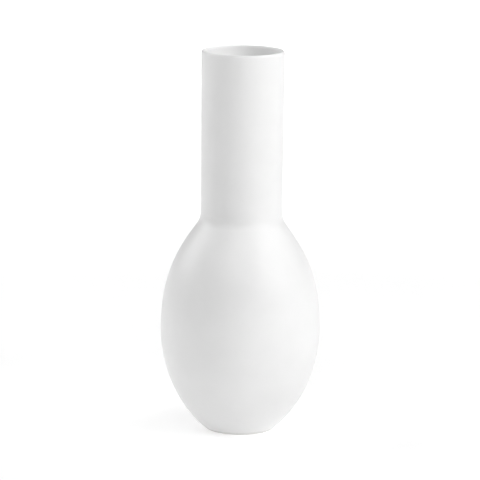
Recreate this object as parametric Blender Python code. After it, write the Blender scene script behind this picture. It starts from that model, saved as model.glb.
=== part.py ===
"""A ceramic bud vase: an egg-shaped body, a soft crease at the shoulder and a tall, nearly straight neck.

Metres, +Z up. The origin is at the centre of the foot's underside, on the surface that the vase stands on.

It is made the way a potter builds such a form in sections. The body is one turned shell. The neck
is a tube that stands on a flat seat at the shoulder, bedded in slip, and a coil of clay is worked
into the crease round its foot. A turned ring, bedded in slip too, makes the dry foot. Two skins of
glaze line the inside so that the vase holds water.
"""

import math

import bmesh
import bpy
from mathutils import Vector

# Outside form
HEIGHT = 0.2290
BELLY_RADIUS = 0.04755
BELLY_HEIGHT = 0.0631
FOOT_RADIUS = 0.0173  # outer edge of the flat ring that the vase stands on
HEEL_RADIUS = 0.0050
HEEL_SLOPE = math.radians(39.3)  # above horizontal, where the heel runs out into the body
HEEL_PULL = 0.0170
LOWER_BELLY_PULL = 0.0300
UPPER_BELLY_PULL = 0.0345
SHOULDER_PULL = 0.0140
SHOULDER_SLOPE = math.radians(34.6)  # inwards from vertical
SHOULDER_HEIGHT = 0.1283  # where the shoulder's slope would meet the neck
SHOULDER_FILLET = 0.0122
NECK_FOOT_RADIUS = 0.0242
NECK_TOP_RADIUS = 0.02475
LIP_THICKNESS = 0.0017
LIP_RISE = 0.0019  # the lip rounds over from this far below its top

# Inside form
BELLY_WALL = 0.0030
NECK_WALL = 0.0023
LIP_TAPER = 0.0120  # the neck's wall thins to the lip over this height
FLOOR_THICKNESS = 0.0038
FLOOR_PULL = 0.0295
INNER_LOWER_PULL = 0.0295
INNER_UPPER_PULL = 0.0355
INNER_SHOULDER_PULL = 0.0120
INNER_SHOULDER_SLOPE = math.radians(33)
GLAZE_THICKNESS = 0.0005
GLAZE_BELOW_LIP = 0.0080

# Joints
GAP = 0.0003  # between pieces that bed on each other
SEAT_HEIGHT = 0.1240  # the flat on the body that the neck and the coil stand on
SLIP_THICKNESS = 0.0008
NECK_REBATE = 0.0008  # how far the neck's foot is cut back to take the coil
COIL_HEIGHT = 0.0088
FOOT_RING_HEIGHT = 0.0022
FOOT_RING_INNER_RADIUS = 0.0128
FOOT_RING_CHAMFER = 0.0005
FOOT_SLIP_INSET = 0.0006

SEGMENTS = 48
CURVE_STEPS = 9
FILLET_STEPS = 5
LIP_STEPS = 8
HEEL_STEPS = 3
WELD = 0.000001
SHARP_ANGLE = math.radians(30)

# Levels in the stacks of pieces under the body and under the neck
FOOT_SLIP_BASE = FOOT_RING_HEIGHT + GAP
FOOT_SLIP_TOP = FOOT_SLIP_BASE + SLIP_THICKNESS
BODY_UNDERSIDE = FOOT_SLIP_TOP + GAP
FLOOR_HEIGHT = BODY_UNDERSIDE + FLOOR_THICKNESS
NECK_SLIP_BASE = SEAT_HEIGHT + GAP
NECK_SLIP_TOP = NECK_SLIP_BASE + SLIP_THICKNESS
NECK_BASE = NECK_SLIP_TOP + GAP
COIL_TOP = SEAT_HEIGHT + COIL_HEIGHT
LIP_CENTRE = Vector((NECK_TOP_RADIUS - LIP_THICKNESS / 2, HEIGHT - LIP_RISE))
BORE_FOOT_RADIUS = NECK_FOOT_RADIUS - NECK_WALL


# Outlines: lists of (radius, height) points


def leaning_in(slope):
    """A unit step up a line that leans in from vertical by this angle."""
    return Vector((-math.sin(slope), math.cos(slope)))


def curve(start, start_pull, end_pull, end, steps=CURVE_STEPS):
    """Points along a cubic curve, both ends included."""
    points = []
    for step in range(steps + 1):
        t = step / steps
        s = 1 - t
        points.append(
            s**3 * start + 3 * s * s * t * start_pull + 3 * s * t * t * end_pull + t**3 * end
        )
    return points


def arc(centre, radius, first, last, steps):
    """Points along a circular arc between two angles from +X, both ends included."""
    angles = [first + (last - first) * step / steps for step in range(steps + 1)]
    return [centre + radius * Vector((math.cos(angle), math.sin(angle))) for angle in angles]


def half_ellipse(centre, half_width, rise, steps):
    """Points over the top of a half ellipse from its outer side to its inner one, both included."""
    angles = [math.pi * step / steps for step in range(steps + 1)]
    return [
        centre + Vector((half_width * math.cos(angle), rise * math.sin(angle))) for angle in angles
    ]


def outer_profile():
    """The outside, from the edge of the foot's flat up to where the lip starts to round over."""
    down = -math.pi / 2
    heel = arc(
        Vector((FOOT_RADIUS, HEEL_RADIUS)), HEEL_RADIUS, down, down + HEEL_SLOPE, HEEL_STEPS
    )
    outwards = Vector((math.cos(HEEL_SLOPE), math.sin(HEEL_SLOPE)))
    belly = Vector((BELLY_RADIUS, BELLY_HEIGHT))
    lower = curve(
        heel[-1], heel[-1] + outwards * HEEL_PULL, belly - Vector((0, LOWER_BELLY_PULL)), belly
    )
    climb = leaning_in(SHOULDER_SLOPE)
    corner = Vector((NECK_FOOT_RADIUS, SHOULDER_HEIGHT))
    tangent = SHOULDER_FILLET * math.tan(SHOULDER_SLOPE / 2)
    shoulder = corner - climb * tangent
    upper = curve(
        belly, belly + Vector((0, UPPER_BELLY_PULL)), shoulder - climb * SHOULDER_PULL, shoulder
    )
    fillet = arc(
        corner + Vector((SHOULDER_FILLET, tangent)),
        SHOULDER_FILLET,
        math.pi + SHOULDER_SLOPE,
        math.pi,
        FILLET_STEPS,
    )
    lip = Vector((NECK_TOP_RADIUS, LIP_CENTRE.y))
    return heel + lower[1:] + upper[1:] + fillet[1:] + [lip]


def cavity_profile(inset):
    """The inside of the body, from the axis up to the seat, moved inwards by the inset."""
    belly = Vector((BELLY_RADIUS - BELLY_WALL - inset, BELLY_HEIGHT))
    floor = Vector((0, FLOOR_HEIGHT + inset))
    mouth = Vector((BORE_FOOT_RADIUS - inset, SEAT_HEIGHT))
    lower = curve(
        floor, floor + Vector((FLOOR_PULL, 0)), belly - Vector((0, INNER_LOWER_PULL)), belly
    )
    upper = curve(
        belly,
        belly + Vector((0, INNER_UPPER_PULL)),
        mouth - leaning_in(INNER_SHOULDER_SLOPE) * INNER_SHOULDER_PULL,
        mouth,
    )
    return lower + upper[1:]


def point_at(profile, height):
    """The profile's own point at a height, between the two points either side of it."""
    for below, above in zip(profile, profile[1:]):
        if below.y <= height <= above.y:
            return below.lerp(above, (height - below.y) / (above.y - below.y))
    raise ValueError(f"the profile doesn't reach {height}")


def between(profile, low, high):
    """The stretch of a rising profile between two heights, with a point at each."""
    inside = [point for point in profile if low + WELD < point.y < high - WELD]
    return [point_at(profile, low), *inside, point_at(profile, high)]


def bore_radius(height, inset=0.0):
    """The radius of the neck's bore, which widens where the wall thins to the lip."""
    outside = point_at(outer_profile(), max(height, COIL_TOP)).x
    below_lip = LIP_CENTRE.y - height
    share = max(0.0, 1 - below_lip / LIP_TAPER)
    wall = NECK_WALL + (LIP_THICKNESS - NECK_WALL) * share
    return outside - wall - inset


def ring(inner, outer, low, high):
    """A plain rectangular section."""
    return [(inner, low), (outer, low), (outer, high), (inner, high)]


# Solids


def turned(name, outline, material, parent):
    """A solid of revolution about Z. The outline is a closed loop, or runs from axis to axis."""
    form = bmesh.new()
    verts = [form.verts.new((radius, 0, height)) for radius, height in outline]
    pairs = list(zip(verts, verts[1:]))
    if outline[0][0] > WELD:
        pairs.append((verts[-1], verts[0]))
    edges = [form.edges.new(pair) for pair in pairs]
    bmesh.ops.spin(
        form,
        geom=verts + edges,
        cent=(0, 0, 0),
        axis=(0, 0, 1),
        angle=2 * math.pi,
        steps=SEGMENTS,
        use_merge=True,
    )
    bmesh.ops.remove_doubles(form, verts=form.verts, dist=WELD)
    bmesh.ops.recalc_face_normals(form, faces=form.faces)
    mesh = bpy.data.meshes.new(name)
    form.to_mesh(mesh)
    form.free()
    mesh.shade_smooth()
    mesh.set_sharp_from_angle(angle=SHARP_ANGLE)
    mesh.materials.append(material)
    piece = bpy.data.objects.new(name, mesh)
    piece.parent = parent
    bpy.context.scene.collection.objects.link(piece)
    return piece


def make_foot_ring(material, parent):
    """The bare ring that the vase stands on, turned to run on from the body's curve."""
    outside = between(outer_profile(), 0, FOOT_RING_HEIGHT)
    inner = FOOT_RING_INNER_RADIUS
    inside = [
        Vector((inner, FOOT_RING_HEIGHT)),
        Vector((inner, FOOT_RING_CHAMFER)),
        Vector((inner + FOOT_RING_CHAMFER, 0)),
    ]
    turned("foot_ring", outside + inside, material, parent)


def make_foot_joint_slip(material, parent):
    """The layer of slip that bonds the foot ring to the body's underside."""
    outer = point_at(outer_profile(), FOOT_SLIP_BASE).x - FOOT_SLIP_INSET
    inner = FOOT_RING_INNER_RADIUS + FOOT_SLIP_INSET
    section = ring(inner, outer, FOOT_SLIP_BASE, FOOT_SLIP_TOP)
    turned("foot_joint_slip", section, material, parent)


def make_body_wall(material, parent):
    """The egg-shaped shell, closed at the floor and open at the flat seat for the neck."""
    outside = between(outer_profile(), BODY_UNDERSIDE, SEAT_HEIGHT)
    underside = Vector((0, BODY_UNDERSIDE))
    inside = cavity_profile(0)[::-1]
    turned("body_wall", [underside, *outside, *inside], material, parent)


def make_body_liner(material, parent):
    """The glaze that lines the body, a skin just inside the wall."""
    outside = cavity_profile(GAP)
    inside = cavity_profile(GAP + GLAZE_THICKNESS)[::-1]
    turned("body_liner_glaze", outside + inside, material, parent)


def make_neck_joint_slip(material, parent):
    """The layer of slip that beds the neck's foot on its seat."""
    outer = NECK_FOOT_RADIUS - NECK_REBATE
    section = ring(BORE_FOOT_RADIUS, outer, NECK_SLIP_BASE, NECK_SLIP_TOP)
    turned("neck_joint_slip", section, material, parent)


def make_shoulder_coil(material, parent):
    """The coil worked into the crease, hollow-faced outside and straight against the neck."""
    outside = between(outer_profile(), NECK_SLIP_BASE, COIL_TOP)
    inner = NECK_FOOT_RADIUS - NECK_REBATE + GAP
    inside = [Vector((inner, COIL_TOP)), Vector((inner, NECK_SLIP_BASE))]
    turned("shoulder_coil", outside + inside, material, parent)


def make_neck_wall(material, parent):
    """The tall tube, cut back at its foot for the coil and thinned to a lip that rounds over."""
    rebated = NECK_FOOT_RADIUS - NECK_REBATE
    shelf = COIL_TOP + GAP
    outside = between(outer_profile(), shelf, LIP_CENTRE.y)
    lip = half_ellipse(LIP_CENTRE, LIP_THICKNESS / 2, LIP_RISE, LIP_STEPS)
    foot = [Vector((rebated, NECK_BASE)), Vector((rebated, shelf))]
    full = LIP_CENTRE.y - LIP_TAPER
    inside = [
        Vector((bore_radius(full), full)),
        Vector((bore_radius(NECK_BASE), NECK_BASE)),
    ]
    turned("neck_wall", foot + outside + lip[1:] + inside, material, parent)


def make_neck_liner(material, parent):
    """The glaze that lines the neck, up to a line a little below the lip."""
    low = NECK_SLIP_BASE
    full = LIP_CENTRE.y - LIP_TAPER
    high = HEIGHT - GLAZE_BELOW_LIP
    levels = [low, full, high]
    outside = [Vector((bore_radius(z, GAP), z)) for z in levels]
    inside = [Vector((bore_radius(z, GAP + GLAZE_THICKNESS), z)) for z in reversed(levels)]
    turned("neck_liner_glaze", outside + inside, material, parent)


# Materials


def ceramic(name, colour, roughness):
    """A fired clay or glaze: a colour and a roughness, with no metal in it."""
    material = bpy.data.materials.new(name)
    material.use_nodes = True
    shader = material.node_tree.nodes["Principled BSDF"]
    shader.inputs["Base Color"].default_value = (*colour, 1)
    shader.inputs["Roughness"].default_value = roughness
    shader.inputs["Metallic"].default_value = 0
    return material


def clear_scene():
    for item in list(bpy.data.objects):
        bpy.data.objects.remove(item)


def main():
    clear_scene()
    vase = bpy.data.objects.new("vase", None)
    bpy.context.scene.collection.objects.link(vase)
    body_glaze = ceramic("satin_white_body_glaze", (0.86, 0.86, 0.85), 0.55)
    neck_glaze = ceramic("satin_white_neck_glaze", (0.86, 0.86, 0.85), 0.55)
    coil_glaze = ceramic("satin_white_coil_glaze", (0.86, 0.86, 0.85), 0.58)
    bare_clay = ceramic("bare_stoneware", (0.78, 0.75, 0.70), 0.90)
    neck_slip = ceramic("neck_joining_slip", (0.74, 0.71, 0.66), 0.95)
    foot_slip = ceramic("foot_joining_slip", (0.74, 0.71, 0.66), 0.95)
    body_liner = ceramic("clear_white_body_liner", (0.88, 0.88, 0.87), 0.12)
    neck_liner = ceramic("clear_white_neck_liner", (0.88, 0.88, 0.87), 0.12)
    make_foot_ring(bare_clay, vase)
    make_foot_joint_slip(foot_slip, vase)
    make_body_wall(body_glaze, vase)
    make_body_liner(body_liner, vase)
    make_neck_joint_slip(neck_slip, vase)
    make_shoulder_coil(coil_glaze, vase)
    make_neck_wall(neck_glaze, vase)
    make_neck_liner(neck_liner, vase)


main()
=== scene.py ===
"""The looks of the ceramic bud vase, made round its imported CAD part.

Metres, +Z up, in the part's own frame. Six finely turned pieces take the place of the faceted walls,
the coil, the foot ring and the two linings. The outside is one profile, cut where the pieces meet, so
the glaze runs over the joints without a line. The two beds of slip stay as the CAD made them, hidden
between the walls.
"""

import math
from collections import namedtuple

import bpy
from mathutils import Matrix, Vector


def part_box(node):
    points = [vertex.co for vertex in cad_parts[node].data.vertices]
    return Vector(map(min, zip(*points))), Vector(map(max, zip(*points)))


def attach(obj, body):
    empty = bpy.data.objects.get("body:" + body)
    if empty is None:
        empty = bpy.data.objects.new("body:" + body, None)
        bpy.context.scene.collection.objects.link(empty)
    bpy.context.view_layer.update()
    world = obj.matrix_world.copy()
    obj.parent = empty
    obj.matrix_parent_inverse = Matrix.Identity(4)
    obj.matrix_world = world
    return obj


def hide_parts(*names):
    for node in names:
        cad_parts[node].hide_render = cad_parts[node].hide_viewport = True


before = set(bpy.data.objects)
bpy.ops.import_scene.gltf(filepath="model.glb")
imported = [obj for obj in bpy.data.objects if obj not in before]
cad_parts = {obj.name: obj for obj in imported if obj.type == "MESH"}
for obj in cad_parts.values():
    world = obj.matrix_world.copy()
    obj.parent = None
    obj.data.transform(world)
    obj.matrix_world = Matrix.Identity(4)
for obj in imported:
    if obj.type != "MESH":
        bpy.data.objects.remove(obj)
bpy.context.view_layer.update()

# Sizes that the frame gives
BODY_LOW, BODY_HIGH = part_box("body_wall")
COIL_LOW, COIL_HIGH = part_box("shoulder_coil")
NECK_LOW, NECK_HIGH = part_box("neck_wall")
HEIGHT = NECK_HIGH.z
BELLY_RADIUS = BODY_HIGH.x
BODY_UNDERSIDE = BODY_LOW.z
SEAT_HEIGHT = BODY_HIGH.z
COIL_TOP = COIL_HIGH.z
NECK_BASE = NECK_LOW.z
NECK_TOP_RADIUS = NECK_HIGH.x
FOOT_RING_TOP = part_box("foot_ring")[1].z
GLAZE_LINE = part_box("neck_liner_glaze")[1].z  # where the gloss lining ends, below the lip

# Outside form, as in the CAD
BELLY_HEIGHT = 0.0631
FOOT_RADIUS = 0.0173
HEEL_RADIUS = 0.0050
HEEL_SLOPE = math.radians(39.3)
HEEL_PULL = 0.0170
LOWER_BELLY_PULL = 0.0300
UPPER_BELLY_PULL = 0.0345
SHOULDER_PULL = 0.0140
SHOULDER_SLOPE = math.radians(34.6)
SHOULDER_HEIGHT = 0.1283
SHOULDER_FILLET = 0.0122
NECK_FOOT_RADIUS = 0.0242
LIP_HALF_WIDTH = 0.00085
LIP_RISE = 0.0019  # the lip rounds over from this far below its top
LIP_CENTRE = Vector((NECK_TOP_RADIUS - LIP_HALF_WIDTH, HEIGHT - LIP_RISE))

# Inside form, as in the CAD
BELLY_WALL = 0.0030
NECK_WALL = 0.0023
LIP_TAPER = 0.0120
FLOOR_THICKNESS = 0.0038
FLOOR_PULL = 0.0295
INNER_LOWER_PULL = 0.0295
INNER_UPPER_PULL = 0.0355
INNER_SHOULDER_PULL = 0.0120
INNER_SHOULDER_SLOPE = math.radians(33)
BORE_FOOT_RADIUS = NECK_FOOT_RADIUS - NECK_WALL
NECK_REBATE = 0.0008
JOINT_GAP = 0.0003
FOOT_RING_INNER_RADIUS = 0.0128
FOOT_RING_ROUND = 0.0005

# Glaze
LINING_GAP = 0.00002  # between the wall and its lining
LINING_THICKNESS = 0.00030
LINING_EDGE_FADE = 0.0012  # the height over which the lining thins out to its upper edge
FOOT_SHADE_START = 0.035  # the satin glaze is painted greyer between these heights, down to the foot: painted shade
FOOT_SHADE_END = 0.005

# How light the satin glaze is painted, from 0, greyest, to 1, whitest: painted light on the belly and
# in the mouth, painted shade up the shoulder and neck and down to the foot
BELLY_WHITENESS = 0.68
SHOULDER_WHITENESS = 0.24
FOOT_WHITENESS = 0.06
NECK_PAINTED_SHADE = 0.30  # painted shade, growing from the shoulder up to the lip
COAT_CLOUDS = 0.065

# Colours, and the roughness from smoothest to roughest
# The satin glaze's greyest and whitest colours, between which its painted light and shade and its
# clouds blend
SATIN_GREYEST = (0.758, 0.758, 0.757)
SATIN_WHITEST = (0.874, 0.874, 0.873)
SATIN_ROUGHNESS = (0.38, 0.46)
GLOSS_THIN = (0.855, 0.855, 0.853)
GLOSS_THICK = (0.880, 0.880, 0.878)
GLOSS_ROUGHNESS = (0.10, 0.18)
CLAY = (0.720, 0.716, 0.708)
CLAY_SPECKS = (0.62, 0.61, 0.59)
CLAY_GRAIN = 0.5  # how far the grain alone goes towards the specks' colour
CLAY_ROUGHNESS = (0.82, 0.95)
SLIP_DARK = (0.70, 0.67, 0.62)
SLIP_PALE = (0.78, 0.75, 0.71)
SLIP_ROUGHNESS = (0.88, 0.98)
GLAZE_IOR = 1.5
NOISE_SPAN = (0.35, 0.65)  # most of a soft noise lies between these values
GRAIN_SPAN = (0.3, 0.7)  # and most of a fine one between these

# Fineness of the meshes
SEGMENTS = 192
POLE_RADIUS = 0.00001  # a ring smaller than this is a single point on the axis
CURVE_STEPS = 44
ARC_STEPS = 20
LINE_STEPS = 24

# One point of an outline: its radius, its height, and the direction that its surface faces, as an
# angle above horizontal
Station = namedtuple("Station", "radius height facing")


# Outlines: runs of stations, with the solid on the left of the way that the run goes


def facing(direction):
    """The way that a surface faces, where its outline runs in this direction."""
    return math.atan2(-direction.x, direction.y)


def line(start, end, steps=1):
    """A straight run."""
    points = [start.lerp(end, step / steps) for step in range(steps + 1)]
    return [Station(point.x, point.y, facing(end - start)) for point in points]


def arc(centre, radius, first, last, steps=ARC_STEPS):
    """A run along a circle between two angles from +X. It is hollow where the angle falls."""
    turn = 0 if last > first else math.pi
    run = []
    for step in range(steps + 1):
        angle = first + (last - first) * step / steps
        point = centre + radius * Vector((math.cos(angle), math.sin(angle)))
        run.append(Station(point.x, point.y, math.remainder(angle + turn, 2 * math.pi)))
    return run


def rounded_over(centre, half_width, rise, steps=ARC_STEPS):
    """A run over the top of half an ellipse, from its outer side to its inner one."""
    run = []
    for step in range(steps + 1):
        angle = math.pi * step / steps
        across = Vector((-half_width * math.sin(angle), rise * math.cos(angle)))
        point = centre + Vector((half_width * math.cos(angle), rise * math.sin(angle)))
        run.append(Station(point.x, point.y, facing(across)))
    return run


def curve(start, start_pull, end_pull, end, steps=CURVE_STEPS):
    """A run along a cubic curve."""
    run = []
    for step in range(steps + 1):
        t = step / steps
        s = 1 - t
        point = s**3 * start + 3 * s * s * t * start_pull + 3 * s * t * t * end_pull + t**3 * end
        slope = s * s * (start_pull - start) + 2 * s * t * (end_pull - start_pull)
        slope += t * t * (end - end_pull)
        run.append(Station(point.x, point.y, facing(slope)))
    return run


def joined(*runs):
    """Runs that follow on smoothly, as one."""
    whole = list(runs[0])
    for run in runs[1:]:
        whole += run[1:]
    return whole


def leaning_in(slope):
    """A unit step up a line that leans in from vertical by this angle."""
    return Vector((-math.sin(slope), math.cos(slope)))


def outside():
    """The whole outside, from the edge of the foot's flat up to where the lip starts to round."""
    down = -math.pi / 2
    heel = arc(Vector((FOOT_RADIUS, HEEL_RADIUS)), HEEL_RADIUS, down, down + HEEL_SLOPE)
    heel_end = Vector((heel[-1].radius, heel[-1].height))
    outwards = Vector((math.cos(HEEL_SLOPE), math.sin(HEEL_SLOPE)))
    belly = Vector((BELLY_RADIUS, BELLY_HEIGHT))
    lower = curve(
        heel_end, heel_end + outwards * HEEL_PULL, belly - Vector((0, LOWER_BELLY_PULL)), belly
    )
    climb = leaning_in(SHOULDER_SLOPE)
    corner = Vector((NECK_FOOT_RADIUS, SHOULDER_HEIGHT))
    tangent = SHOULDER_FILLET * math.tan(SHOULDER_SLOPE / 2)
    shoulder = corner - climb * tangent
    upper = curve(
        belly, belly + Vector((0, UPPER_BELLY_PULL)), shoulder - climb * SHOULDER_PULL, shoulder
    )
    fillet = arc(
        corner + Vector((SHOULDER_FILLET, tangent)),
        SHOULDER_FILLET,
        math.pi + SHOULDER_SLOPE,
        math.pi,
    )
    neck_foot = Vector((fillet[-1].radius, fillet[-1].height))
    neck = line(neck_foot, Vector((NECK_TOP_RADIUS, LIP_CENTRE.y)), LINE_STEPS)
    return joined(heel, lower, upper, fillet, neck)


def cavity(inset=0.0):
    """The inside of the body, from the seat down to the axis, moved inwards by the inset."""
    belly = Vector((BELLY_RADIUS - BELLY_WALL - inset, BELLY_HEIGHT))
    floor = Vector((0, BODY_UNDERSIDE + FLOOR_THICKNESS + inset))
    mouth = Vector((BORE_FOOT_RADIUS - inset, SEAT_HEIGHT))
    upper = curve(
        mouth,
        mouth - leaning_in(INNER_SHOULDER_SLOPE) * INNER_SHOULDER_PULL,
        belly + Vector((0, INNER_UPPER_PULL)),
        belly,
    )
    lower = curve(
        belly, belly - Vector((0, INNER_LOWER_PULL)), floor + Vector((FLOOR_PULL, 0)), floor
    )
    return joined(upper, lower)


def station_at(run, height):
    """The rising run's own station at a height."""
    for below, above in zip(run, run[1:]):
        if below.height <= height <= above.height:
            share = (height - below.height) / (above.height - below.height)
            return Station(*(a + (b - a) * share for a, b in zip(below, above)))
    raise ValueError(f"the outline doesn't reach {height}")


def between(run, low, high):
    """The stretch of a rising run between two heights."""
    inside = [station for station in run if low < station.height < high]
    return [station_at(run, low), *inside, station_at(run, high)]


def reversed_run(run):
    """The same stretch, with the solid on its other side."""
    return [Station(s.radius, s.height, s.facing + math.pi) for s in reversed(run)]


def bore_radius(height):
    """The radius of the neck's bore, which widens where the wall thins to the lip."""
    share = max(0.0, 1 - (LIP_CENTRE.y - height) / LIP_TAPER)
    wall = NECK_WALL + (2 * LIP_HALF_WIDTH - NECK_WALL) * share
    return station_at(OUTSIDE, max(height, COIL_TOP)).radius - wall


def at(height, radius):
    """A point of an outline."""
    return Vector((radius, height))


OUTSIDE = outside()


# Meshes


def turned(name, runs, material, closed=True):
    """A solid of revolution about Z, shaded by the outline's own facing so that it is truly round.

    A closed outline ends where it starts. An open one runs from axis to axis.
    """
    angles = [2 * math.pi * k / SEGMENTS for k in range(SEGMENTS)]
    turns = [(math.cos(angle), math.sin(angle)) for angle in angles]
    verts, rings = [], []

    def add_ring(station):
        start = len(verts)
        if station.radius < POLE_RADIUS:
            verts.append((0, 0, station.height))
            rings.append([start] * SEGMENTS)
        else:
            verts.extend((station.radius * c, station.radius * s, station.height) for c, s in turns)
            rings.append(range(start, start + SEGMENTS))

    def normal(station, k):
        c, s = turns[k % SEGMENTS]
        flat = math.cos(station.facing)
        return (flat * c, flat * s, math.sin(station.facing))

    faces, normals = [], []
    add_ring(runs[0][0])
    for number, run in enumerate(runs):
        for lower, upper in zip(run, run[1:]):
            start = len(rings) - 1
            if closed and number == len(runs) - 1 and upper is run[-1]:
                rings.append(rings[0])
            else:
                add_ring(upper)
            first, second = rings[start], rings[-1]
            for k in range(SEGMENTS):
                after = (k + 1) % SEGMENTS
                corners = [
                    (first[k], lower, k),
                    (first[after], lower, k + 1),
                    (second[after], upper, k + 1),
                    (second[k], upper, k),
                ]
                if first[k] == first[after]:
                    corners.pop(0)
                if second[k] == second[after]:
                    corners.pop()
                faces.append([vert for vert, _, _ in corners])
                normals += [normal(station, turn) for _, station, turn in corners]
    mesh = bpy.data.meshes.new(name)
    mesh.from_pydata(verts, [], faces)
    mesh.validate()
    mesh.shade_smooth()
    mesh.normals_split_custom_set(normals)
    mesh.materials.append(material)
    piece = bpy.data.objects.new(name, mesh)
    bpy.context.scene.collection.objects.link(piece)
    return piece


def stand_for(piece, node):
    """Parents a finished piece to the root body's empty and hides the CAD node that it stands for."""
    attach(piece, "root")
    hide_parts(node)


def make_foot_ring(material):
    """The bare ring, with the inner edge of its flat softened by the sponge."""
    outer = between(OUTSIDE, 0, FOOT_RING_TOP)
    inner = FOOT_RING_INNER_RADIUS
    top = line(at(FOOT_RING_TOP, outer[-1].radius), at(FOOT_RING_TOP, inner))
    wall = line(at(FOOT_RING_TOP, inner), at(FOOT_RING_ROUND, inner))
    centre = at(FOOT_RING_ROUND, inner + FOOT_RING_ROUND)
    edge = arc(centre, FOOT_RING_ROUND, math.pi, 1.5 * math.pi, ARC_STEPS // 2)
    flat = line(at(0, inner + FOOT_RING_ROUND), at(0, FOOT_RADIUS))
    return turned("dry_foot_ring", [outer, top, wall, edge, flat], material)


def make_body(material):
    """The egg-shaped shell, brought down over the foot's joint and up to the coil."""
    outer = between(OUTSIDE, FOOT_RING_TOP, SEAT_HEIGHT)
    skirt_inner = at(BODY_UNDERSIDE, outer[0].radius - 2 * JOINT_GAP)
    underside = line(at(BODY_UNDERSIDE, 0), skirt_inner)
    skirt = line(skirt_inner, at(FOOT_RING_TOP, outer[0].radius))
    seat = line(at(SEAT_HEIGHT, outer[-1].radius), at(SEAT_HEIGHT, BORE_FOOT_RADIUS))
    return turned("vase_body", [underside, skirt, outer, seat, cavity()], material, closed=False)


def make_coil(material):
    """The coil in the crease, with its outer edges brought out to the pieces above and below."""
    outer = between(OUTSIDE, SEAT_HEIGHT, COIL_TOP)
    inner = NECK_FOOT_RADIUS - NECK_REBATE + JOINT_GAP
    top = line(at(COIL_TOP, outer[-1].radius), at(COIL_TOP, inner))
    wall = line(at(COIL_TOP, inner), at(COIL_LOW.z, inner))
    base = line(at(COIL_LOW.z, inner), at(SEAT_HEIGHT, outer[0].radius))
    return turned("shoulder_crease", [outer, top, wall, base], material)


def make_neck(material):
    """The tall tube, thinned to a lip that is half an ellipse."""
    rebated = NECK_FOOT_RADIUS - NECK_REBATE
    outer = between(OUTSIDE, COIL_TOP, LIP_CENTRE.y)
    lip = rounded_over(LIP_CENTRE, LIP_HALF_WIDTH, LIP_RISE)
    full = LIP_CENTRE.y - LIP_TAPER
    lip_inside = at(LIP_CENTRE.y, LIP_CENTRE.x - LIP_HALF_WIDTH)
    taper = line(lip_inside, at(full, bore_radius(full)), LINE_STEPS)
    bore = line(at(full, bore_radius(full)), at(NECK_BASE, bore_radius(NECK_BASE)), LINE_STEPS)
    foot = line(at(NECK_BASE, bore_radius(NECK_BASE)), at(NECK_BASE, rebated))
    rebate = line(at(NECK_BASE, rebated), at(COIL_TOP + JOINT_GAP, rebated))
    shelf = line(at(COIL_TOP + JOINT_GAP, rebated), at(COIL_TOP, outer[0].radius))
    return turned("vase_neck", [joined(outer, lip), taper, bore, foot, rebate, shelf], material)


def make_body_lining(material):
    """The glossy glaze on the inside of the body."""
    back = reversed_run(cavity(LINING_GAP))
    front = cavity(LINING_GAP + LINING_THICKNESS)
    edge = line(at(SEAT_HEIGHT, back[-1].radius), at(SEAT_HEIGHT, front[0].radius))
    return turned("body_lining", [back, edge, front], material, closed=False)


def make_neck_lining(material):
    """The glossy glaze in the neck, which thins out to its edge below the lip."""
    full = LIP_CENTRE.y - LIP_TAPER
    fade = GLAZE_LINE - LINING_EDGE_FADE

    def wall_at(height, inset):
        return at(height, bore_radius(height) - inset)

    deep = LINING_GAP + LINING_THICKNESS
    back = [
        line(wall_at(SEAT_HEIGHT, LINING_GAP), wall_at(full, LINING_GAP), LINE_STEPS),
        line(wall_at(full, LINING_GAP), wall_at(GLAZE_LINE, LINING_GAP)),
    ]
    thinning = curve(
        wall_at(GLAZE_LINE, LINING_GAP),
        wall_at(GLAZE_LINE, deep),
        wall_at(fade + LINING_EDGE_FADE / 2, deep),
        wall_at(fade, deep),
        ARC_STEPS,
    )
    front = [
        line(wall_at(fade, deep), wall_at(full, deep)),
        line(wall_at(full, deep), wall_at(SEAT_HEIGHT, deep), LINE_STEPS),
    ]
    base = line(wall_at(SEAT_HEIGHT, deep), wall_at(SEAT_HEIGHT, LINING_GAP))
    return turned("neck_lining", [*back, thinning, *front, base], material)


# Materials


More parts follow.
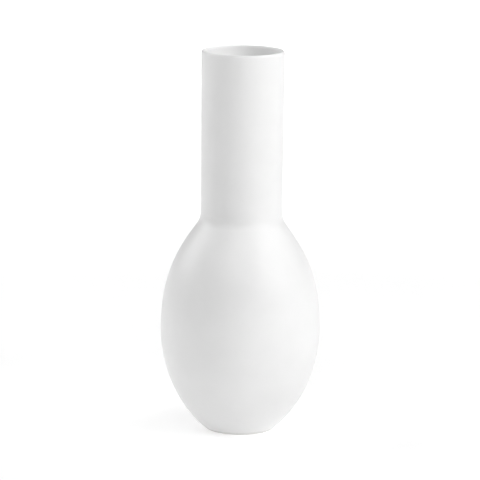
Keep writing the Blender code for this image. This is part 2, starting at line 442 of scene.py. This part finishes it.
class Nodes:
    """Short calls for building one material's node tree, in the object's own coordinates."""

    def __init__(self, name):
        self.material = bpy.data.materials.new(name)
        self.material.use_nodes = True
        self.tree = self.material.node_tree
        self.shader = self.tree.nodes["Principled BSDF"]
        self.place = self.tree.nodes.new("ShaderNodeTexCoord").outputs["Object"]

    def link(self, output, socket):
        """Joins an output to an input."""
        self.tree.links.new(output, socket)

    def noise(self, size, detail=2.0, roughness=0.5, stretch=(1, 1, 1)):
        """Noise whose lumps are about this size in metres."""
        mapping = self.tree.nodes.new("ShaderNodeMapping")
        mapping.inputs["Scale"].default_value = stretch
        self.link(self.place, mapping.inputs["Vector"])
        node = self.tree.nodes.new("ShaderNodeTexNoise")
        node.inputs["Scale"].default_value = 1 / size
        node.inputs["Detail"].default_value = detail
        node.inputs["Roughness"].default_value = roughness
        self.link(mapping.outputs["Vector"], node.inputs["Vector"])
        return node.outputs["Fac"]

    def height(self):
        """The height above the foot, in metres."""
        node = self.tree.nodes.new("ShaderNodeSeparateXYZ")
        self.link(self.place, node.inputs["Vector"])
        return node.outputs["Z"]

    def radius(self, centre=(0, 0, 0)):
        """The distance from an upright line, which is the vase's axis if no other is named."""
        level = self.tree.nodes.new("ShaderNodeVectorMath")
        level.operation = "MULTIPLY_ADD"
        level.inputs[1].default_value = (1, 1, 0)
        level.inputs[2].default_value = tuple(-c for c in centre)
        self.link(self.place, level.inputs[0])
        length = self.tree.nodes.new("ShaderNodeVectorMath")
        length.operation = "LENGTH"
        self.link(level.outputs["Vector"], length.inputs[0])
        return length.outputs["Value"]

    def specks(self, spacing, reach):
        """1 at the middle of scattered specks, falling to 0 at their edge."""
        node = self.tree.nodes.new("ShaderNodeTexVoronoi")
        node.inputs["Scale"].default_value = 1 / spacing
        self.link(self.place, node.inputs["Vector"])
        return self.ranged(node.outputs["Distance"], (0, reach), (1, 0))

    def ranged(self, value, source, result):
        """A value carried from one range to another, and held at its ends."""
        node = self.tree.nodes.new("ShaderNodeMapRange")
        node.inputs["From Min"].default_value, node.inputs["From Max"].default_value = source
        node.inputs["To Min"].default_value, node.inputs["To Max"].default_value = result
        self.link(value, node.inputs["Value"])
        return node.outputs["Result"]

    def combined(self, operation, first, second):
        """Two values added, multiplied and so on."""
        node = self.tree.nodes.new("ShaderNodeMath")
        node.operation = operation
        self.link(first, node.inputs[0])
        self.link(second, node.inputs[1])
        return node.outputs["Value"]

    def blended(self, share, first, second):
        """One colour going over into another as the share goes from 0 to 1."""
        node = self.tree.nodes.new("ShaderNodeMix")
        node.data_type = "RGBA"
        node.inputs["A"].default_value = (*first, 1)
        node.inputs["B"].default_value = (*second, 1)
        self.link(share, node.inputs["Factor"])
        return node.outputs["Result"]

    def bumped(self, height, depth, under=None):
        """A normal that this height field raises by up to the depth in metres."""
        node = self.tree.nodes.new("ShaderNodeBump")
        node.inputs["Distance"].default_value = depth
        self.link(height, node.inputs["Height"])
        if under is not None:
            self.link(under, node.inputs["Normal"])
        return node.outputs["Normal"]

    def finish(self, colour, roughness, normal):
        """The finished material."""
        self.link(colour, self.shader.inputs["Base Color"])
        self.link(roughness, self.shader.inputs["Roughness"])
        self.link(normal, self.shader.inputs["Normal"])
        return self.material


def satin_glaze():
    """Satin-matt white with faint clouds, a tooth and a ripple.

    It is painted whitest in the mouth and on the belly, and greyer up the neck and down to the foot:
    painted light and shade.
    """
    nodes = Nodes("satin_white_glaze")
    nodes.shader.inputs["IOR"].default_value = GLAZE_IOR
    height = nodes.height()
    # Painted light and shade: whiter on the belly and in the mouth, greyer on the shoulder, up the
    # neck and down to the foot
    belly = nodes.ranged(height, (BELLY_HEIGHT, SEAT_HEIGHT), (BELLY_WHITENESS, SHOULDER_WHITENESS))
    foot = nodes.ranged(height, (FOOT_SHADE_END, FOOT_SHADE_START), (FOOT_WHITENESS, BELLY_WHITENESS))
    neck = nodes.ranged(height, (SEAT_HEIGHT, HEIGHT), (0, -NECK_PAINTED_SHADE))
    mouth = nodes.combined(
        "MINIMUM",
        nodes.ranged(nodes.radius(), (LIP_CENTRE.x, NECK_FOOT_RADIUS), (1, 0)),
        nodes.ranged(height, (SEAT_HEIGHT, COIL_TOP), (0, 1)),
    )
    clouds = nodes.noise(size=0.018, detail=3)
    clouds = nodes.ranged(clouds, NOISE_SPAN, (-COAT_CLOUDS, COAT_CLOUDS))
    painted_outer_shade = nodes.combined("ADD", nodes.combined("MINIMUM", belly, foot), neck)
    painted_shade_and_clouds = nodes.combined("ADD", nodes.combined("MAXIMUM", painted_outer_shade, mouth), clouds)
    colour = nodes.blended(painted_shade_and_clouds, SATIN_GREYEST, SATIN_WHITEST)
    tooth = nodes.noise(size=0.00035, detail=2)
    mottling = nodes.combined("ADD", nodes.noise(size=0.006, detail=3), tooth)
    two_noises_span = (2 * NOISE_SPAN[0], 2 * NOISE_SPAN[1])
    roughness = nodes.ranged(mottling, two_noises_span, SATIN_ROUGHNESS)
    ripple = nodes.bumped(nodes.noise(size=0.0025, detail=1), depth=0.000012)
    return nodes.finish(colour, roughness, nodes.bumped(tooth, depth=0.000004, under=ripple))


def gloss_glaze():
    """The lining: clear gloss over white, with the slow waves of a glaze that has run."""
    nodes = Nodes("gloss_white_lining")
    nodes.shader.inputs["IOR"].default_value = GLAZE_IOR
    clouds = nodes.ranged(nodes.noise(size=0.010, detail=3), NOISE_SPAN, (0, 1))
    colour = nodes.blended(clouds, GLOSS_THIN, GLOSS_THICK)
    roughness = nodes.ranged(nodes.noise(size=0.003, detail=3), NOISE_SPAN, GLOSS_ROUGHNESS)
    waves = nodes.noise(size=0.008, detail=1, stretch=(1, 1, 0.4))
    runs = nodes.bumped(waves, depth=0.00012)
    pinholes = nodes.noise(size=0.0015)
    return nodes.finish(colour, roughness, nodes.bumped(pinholes, depth=0.000015, under=runs))


def bare_clay():
    """Fired stoneware, sponged: a pale body with fine grains and a few darker specks."""
    nodes = Nodes("bare_stoneware")
    grain = nodes.noise(size=0.0005, detail=4, roughness=0.65)
    specks = nodes.specks(spacing=0.0016, reach=0.22)
    shade = nodes.combined("MAXIMUM", nodes.ranged(grain, GRAIN_SPAN, (0, CLAY_GRAIN)), specks)
    colour = nodes.blended(shade, CLAY, CLAY_SPECKS)
    roughness = nodes.ranged(grain, GRAIN_SPAN, CLAY_ROUGHNESS)
    sponged = nodes.bumped(nodes.noise(size=0.002, detail=2), depth=0.00006)
    return nodes.finish(colour, roughness, nodes.bumped(grain, depth=0.00004, under=sponged))


def joining_slip():
    """Slip that was squeezed out thin and fired: chalky and coarse."""
    nodes = Nodes("joining_slip")
    grain = nodes.noise(size=0.0004, detail=4, roughness=0.7)
    colour = nodes.blended(grain, SLIP_DARK, SLIP_PALE)
    roughness = nodes.ranged(grain, GRAIN_SPAN, SLIP_ROUGHNESS)
    lumps = nodes.bumped(nodes.noise(size=0.0015, detail=2), depth=0.0001)
    return nodes.finish(colour, roughness, nodes.bumped(grain, depth=0.00005, under=lumps))


# Studio

# The table's mesh: the radius of its inmost ring, with each next one twice as wide
FLOOR_FIRST_RING = 0.40
FLOOR_RINGS = 7
FLOOR_SIDES = 64
FLOOR_COLOUR = 0.86
FLOOR_ROUGHNESS = 0.9
FLOOR_SHEEN = 0.2  # the strength of its reflections
# The table's own glow, painted light that keeps it white and lights the vase from below, and the
# distances from the vase that it grows between
FLOOR_GLOW_NEAR = 0.14
FLOOR_GLOW_FAR = 0.95
FLOOR_GLOW_START = 0.50
FLOOR_GLOW_END = 2.20
# Spots of painted light where the table glows more, to lift the vase's shadow and the shade round its
# foot: strength, the distances from its centre that it falls off between, and the centre
PAINTED_LIGHT_SPOTS = {
    "right_of_the_foot": (0.13, 0.018, 0.066, Vector((0.034, -0.010, 0))),
    "round_the_heel": (0.20, 0.018, 0.027, Vector((0.003, -0.001, 0))),
    "left_of_the_foot": (0.22, 0.030, 0.150, Vector((-0.095, 0.040, 0))),
    "far_right": (0.08, 0.060, 0.220, Vector((0.190, -0.095, 0))),
}
ROOM_LIGHT = 0.03
HORIZON_LIGHT = 0.98
HORIZON_BAND = 0.015  # how far up the bright horizon reaches, as a share of straight up
LIGHT_CENTRE = Vector((0, 0, 0.12))

# The camera stands at azimuth 0, looking along +Y, and azimuth runs towards +X from there.
# name: azimuth and elevation in degrees, width, height, brightness
SOFTBOXES = {
    "key": (58, 26, 1.15, 0.60, 2.84),
    "key_high": (72, 52, 1.20, 0.75, 3.22),
    "back_right": (120, 38, 0.80, 0.60, 1.55),
    "rim": (-112, 33, 0.80, 1.05, 3.80),
    "fill": (-5, 46, 0.90, 0.50, 3.83),
}
SOFTBOX_DISTANCE = 1.4
# One more faces straight down and lights the table behind the vase
TABLE_LIGHT_PLACE = Vector((0, 1.5, 1.0))
TABLE_LIGHT_SIZE = (1.40, 1.20)
TABLE_LIGHT_BRIGHTNESS = 1.75

SENSOR_WIDTH = 36  # mm, as the lens is
CAMERA_DISTANCE = 2.5
CAMERA_ELEVATION = math.radians(10.38)
CAMERA_ROLL = math.radians(0.63)
CAMERA_LENS = 314.6
CAMERA_REACH = 100  # metres
CAMERA_AIM_RIGHT = -0.00066
CAMERA_AIM_UP = 0.00048


def direction(azimuth, elevation):
    """The unit direction from the vase towards an azimuth and an elevation, in radians."""
    flat = math.cos(elevation)
    return Vector((math.sin(azimuth) * flat, -math.cos(azimuth) * flat, math.sin(elevation)))


def make_softbox(name, place, aim, size, brightness):
    """An even rectangular light that faces a point."""
    light = bpy.data.lights.new(name, "AREA")
    light.shape = "RECTANGLE"
    light.size, light.size_y = size
    light.energy = math.pi * light.size * light.size_y * brightness
    lamp = bpy.data.objects.new(name, light)
    turn = (place - aim).to_track_quat("Z", "Y").to_matrix().to_4x4()
    lamp.matrix_world = Matrix.Translation(place) @ turn
    lamp.visible_camera = False
    bpy.context.scene.collection.objects.link(lamp)


def make_lights():
    """The softboxes round the vase, and the one over the table."""
    for name, (azimuth, elevation, width, height, brightness) in SOFTBOXES.items():
        towards = direction(math.radians(azimuth), math.radians(elevation))
        place = LIGHT_CENTRE + towards * SOFTBOX_DISTANCE
        make_softbox(name, place, LIGHT_CENTRE, (width, height), brightness)
    below = TABLE_LIGHT_PLACE * Vector((1, 1, 0))
    make_softbox("table_light", TABLE_LIGHT_PLACE, below, TABLE_LIGHT_SIZE, TABLE_LIGHT_BRIGHTNESS)


def glowing_white_table():
    """White that glows with painted light, more strongly far away and at the spots that lift the
    vase's shadow.
    """
    nodes = Nodes("glowing_white_table")
    nodes.shader.inputs["Base Color"].default_value = (FLOOR_COLOUR, FLOOR_COLOUR, FLOOR_COLOUR, 1)
    nodes.shader.inputs["Roughness"].default_value = FLOOR_ROUGHNESS
    nodes.shader.inputs["Specular IOR Level"].default_value = FLOOR_SHEEN
    nodes.shader.inputs["Emission Color"].default_value = (1, 1, 1, 1)
    reach = (FLOOR_GLOW_START, FLOOR_GLOW_END)
    glow = nodes.ranged(nodes.radius(), reach, (FLOOR_GLOW_NEAR, FLOOR_GLOW_FAR))
    for strength, start, end, centre in PAINTED_LIGHT_SPOTS.values():
        spot = nodes.ranged(nodes.radius(centre), (start, end), (strength, 0))
        glow = nodes.combined("ADD", glow, spot)
    nodes.link(glow, nodes.shader.inputs["Emission Strength"])
    return nodes.material


def make_floor(material):
    """A round table, wide enough to reach the horizon."""
    verts = [(0, 0, 0)]
    faces = []
    for number in range(FLOOR_RINGS):
        radius = FLOOR_FIRST_RING * 2**number
        outer = len(verts)
        inner = outer - FLOOR_SIDES
        for k in range(FLOOR_SIDES):
            angle = 2 * math.pi * k / FLOOR_SIDES
            verts.append((radius * math.cos(angle), radius * math.sin(angle), 0))
        for k in range(FLOOR_SIDES):
            after = (k + 1) % FLOOR_SIDES
            if number == 0:
                faces.append((0, outer + k, outer + after))
            else:
                faces.append((inner + k, outer + k, outer + after, inner + after))
    mesh = bpy.data.meshes.new("studio_floor")
    mesh.from_pydata(verts, [], faces)
    mesh.materials.append(material)
    floor = bpy.data.objects.new("studio_floor", mesh)
    bpy.context.scene.collection.objects.link(floor)


def make_world():
    """A dim even room with a bright horizon, so that the table runs off into white."""
    world = bpy.data.worlds.new("studio_room")
    world.use_nodes = True
    tree = world.node_tree
    background = tree.nodes["Background"]
    background.inputs["Color"].default_value = (1, 1, 1, 1)
    place = tree.nodes.new("ShaderNodeTexCoord")
    split = tree.nodes.new("ShaderNodeSeparateXYZ")
    tree.links.new(place.outputs["Generated"], split.inputs["Vector"])
    ramp = tree.nodes.new("ShaderNodeMapRange")
    ramp.inputs["From Min"].default_value = HORIZON_BAND
    ramp.inputs["From Max"].default_value = 2 * HORIZON_BAND
    ramp.inputs["To Min"].default_value = HORIZON_LIGHT
    ramp.inputs["To Max"].default_value = ROOM_LIGHT
    tree.links.new(split.outputs["Z"], ramp.inputs["Value"])
    tree.links.new(ramp.outputs["Result"], background.inputs["Strength"])
    bpy.context.scene.world = world


def make_camera():
    """A long lens, a little above the vase and turned by a hair, as the photographer held it."""
    camera = bpy.data.cameras.new("camera")
    camera.sensor_width = SENSOR_WIDTH
    camera.lens = CAMERA_LENS
    camera.clip_end = CAMERA_REACH
    back = direction(0, CAMERA_ELEVATION)
    right = Vector((1, 0, 0))
    up = back.cross(right)
    target = Vector((0, 0, HEIGHT / 2)) + right * CAMERA_AIM_RIGHT + up * CAMERA_AIM_UP
    rolled_right = right * math.cos(CAMERA_ROLL) + up * math.sin(CAMERA_ROLL)
    rolled_up = back.cross(rolled_right)
    turn = Matrix((rolled_right, rolled_up, back)).transposed().to_4x4()
    rig = bpy.data.objects.new("camera", camera)
    rig.matrix_world = Matrix.Translation(target + back * CAMERA_DISTANCE) @ turn
    bpy.context.scene.collection.objects.link(rig)
    bpy.context.scene.camera = rig


# The vase

glaze = satin_glaze()
lining = gloss_glaze()
stand_for(make_body(glaze), "body_wall")
stand_for(make_coil(glaze), "shoulder_coil")
stand_for(make_neck(glaze), "neck_wall")
stand_for(make_foot_ring(bare_clay()), "foot_ring")
stand_for(make_body_lining(lining), "body_liner_glaze")
stand_for(make_neck_lining(lining), "neck_liner_glaze")

slip = joining_slip()
for node in ("neck_joint_slip", "foot_joint_slip"):
    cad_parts[node].material_slots[0].material = slip

make_floor(glowing_white_table())
make_world()
make_lights()
make_camera()
bpy.context.scene.view_settings.view_transform = "Standard"
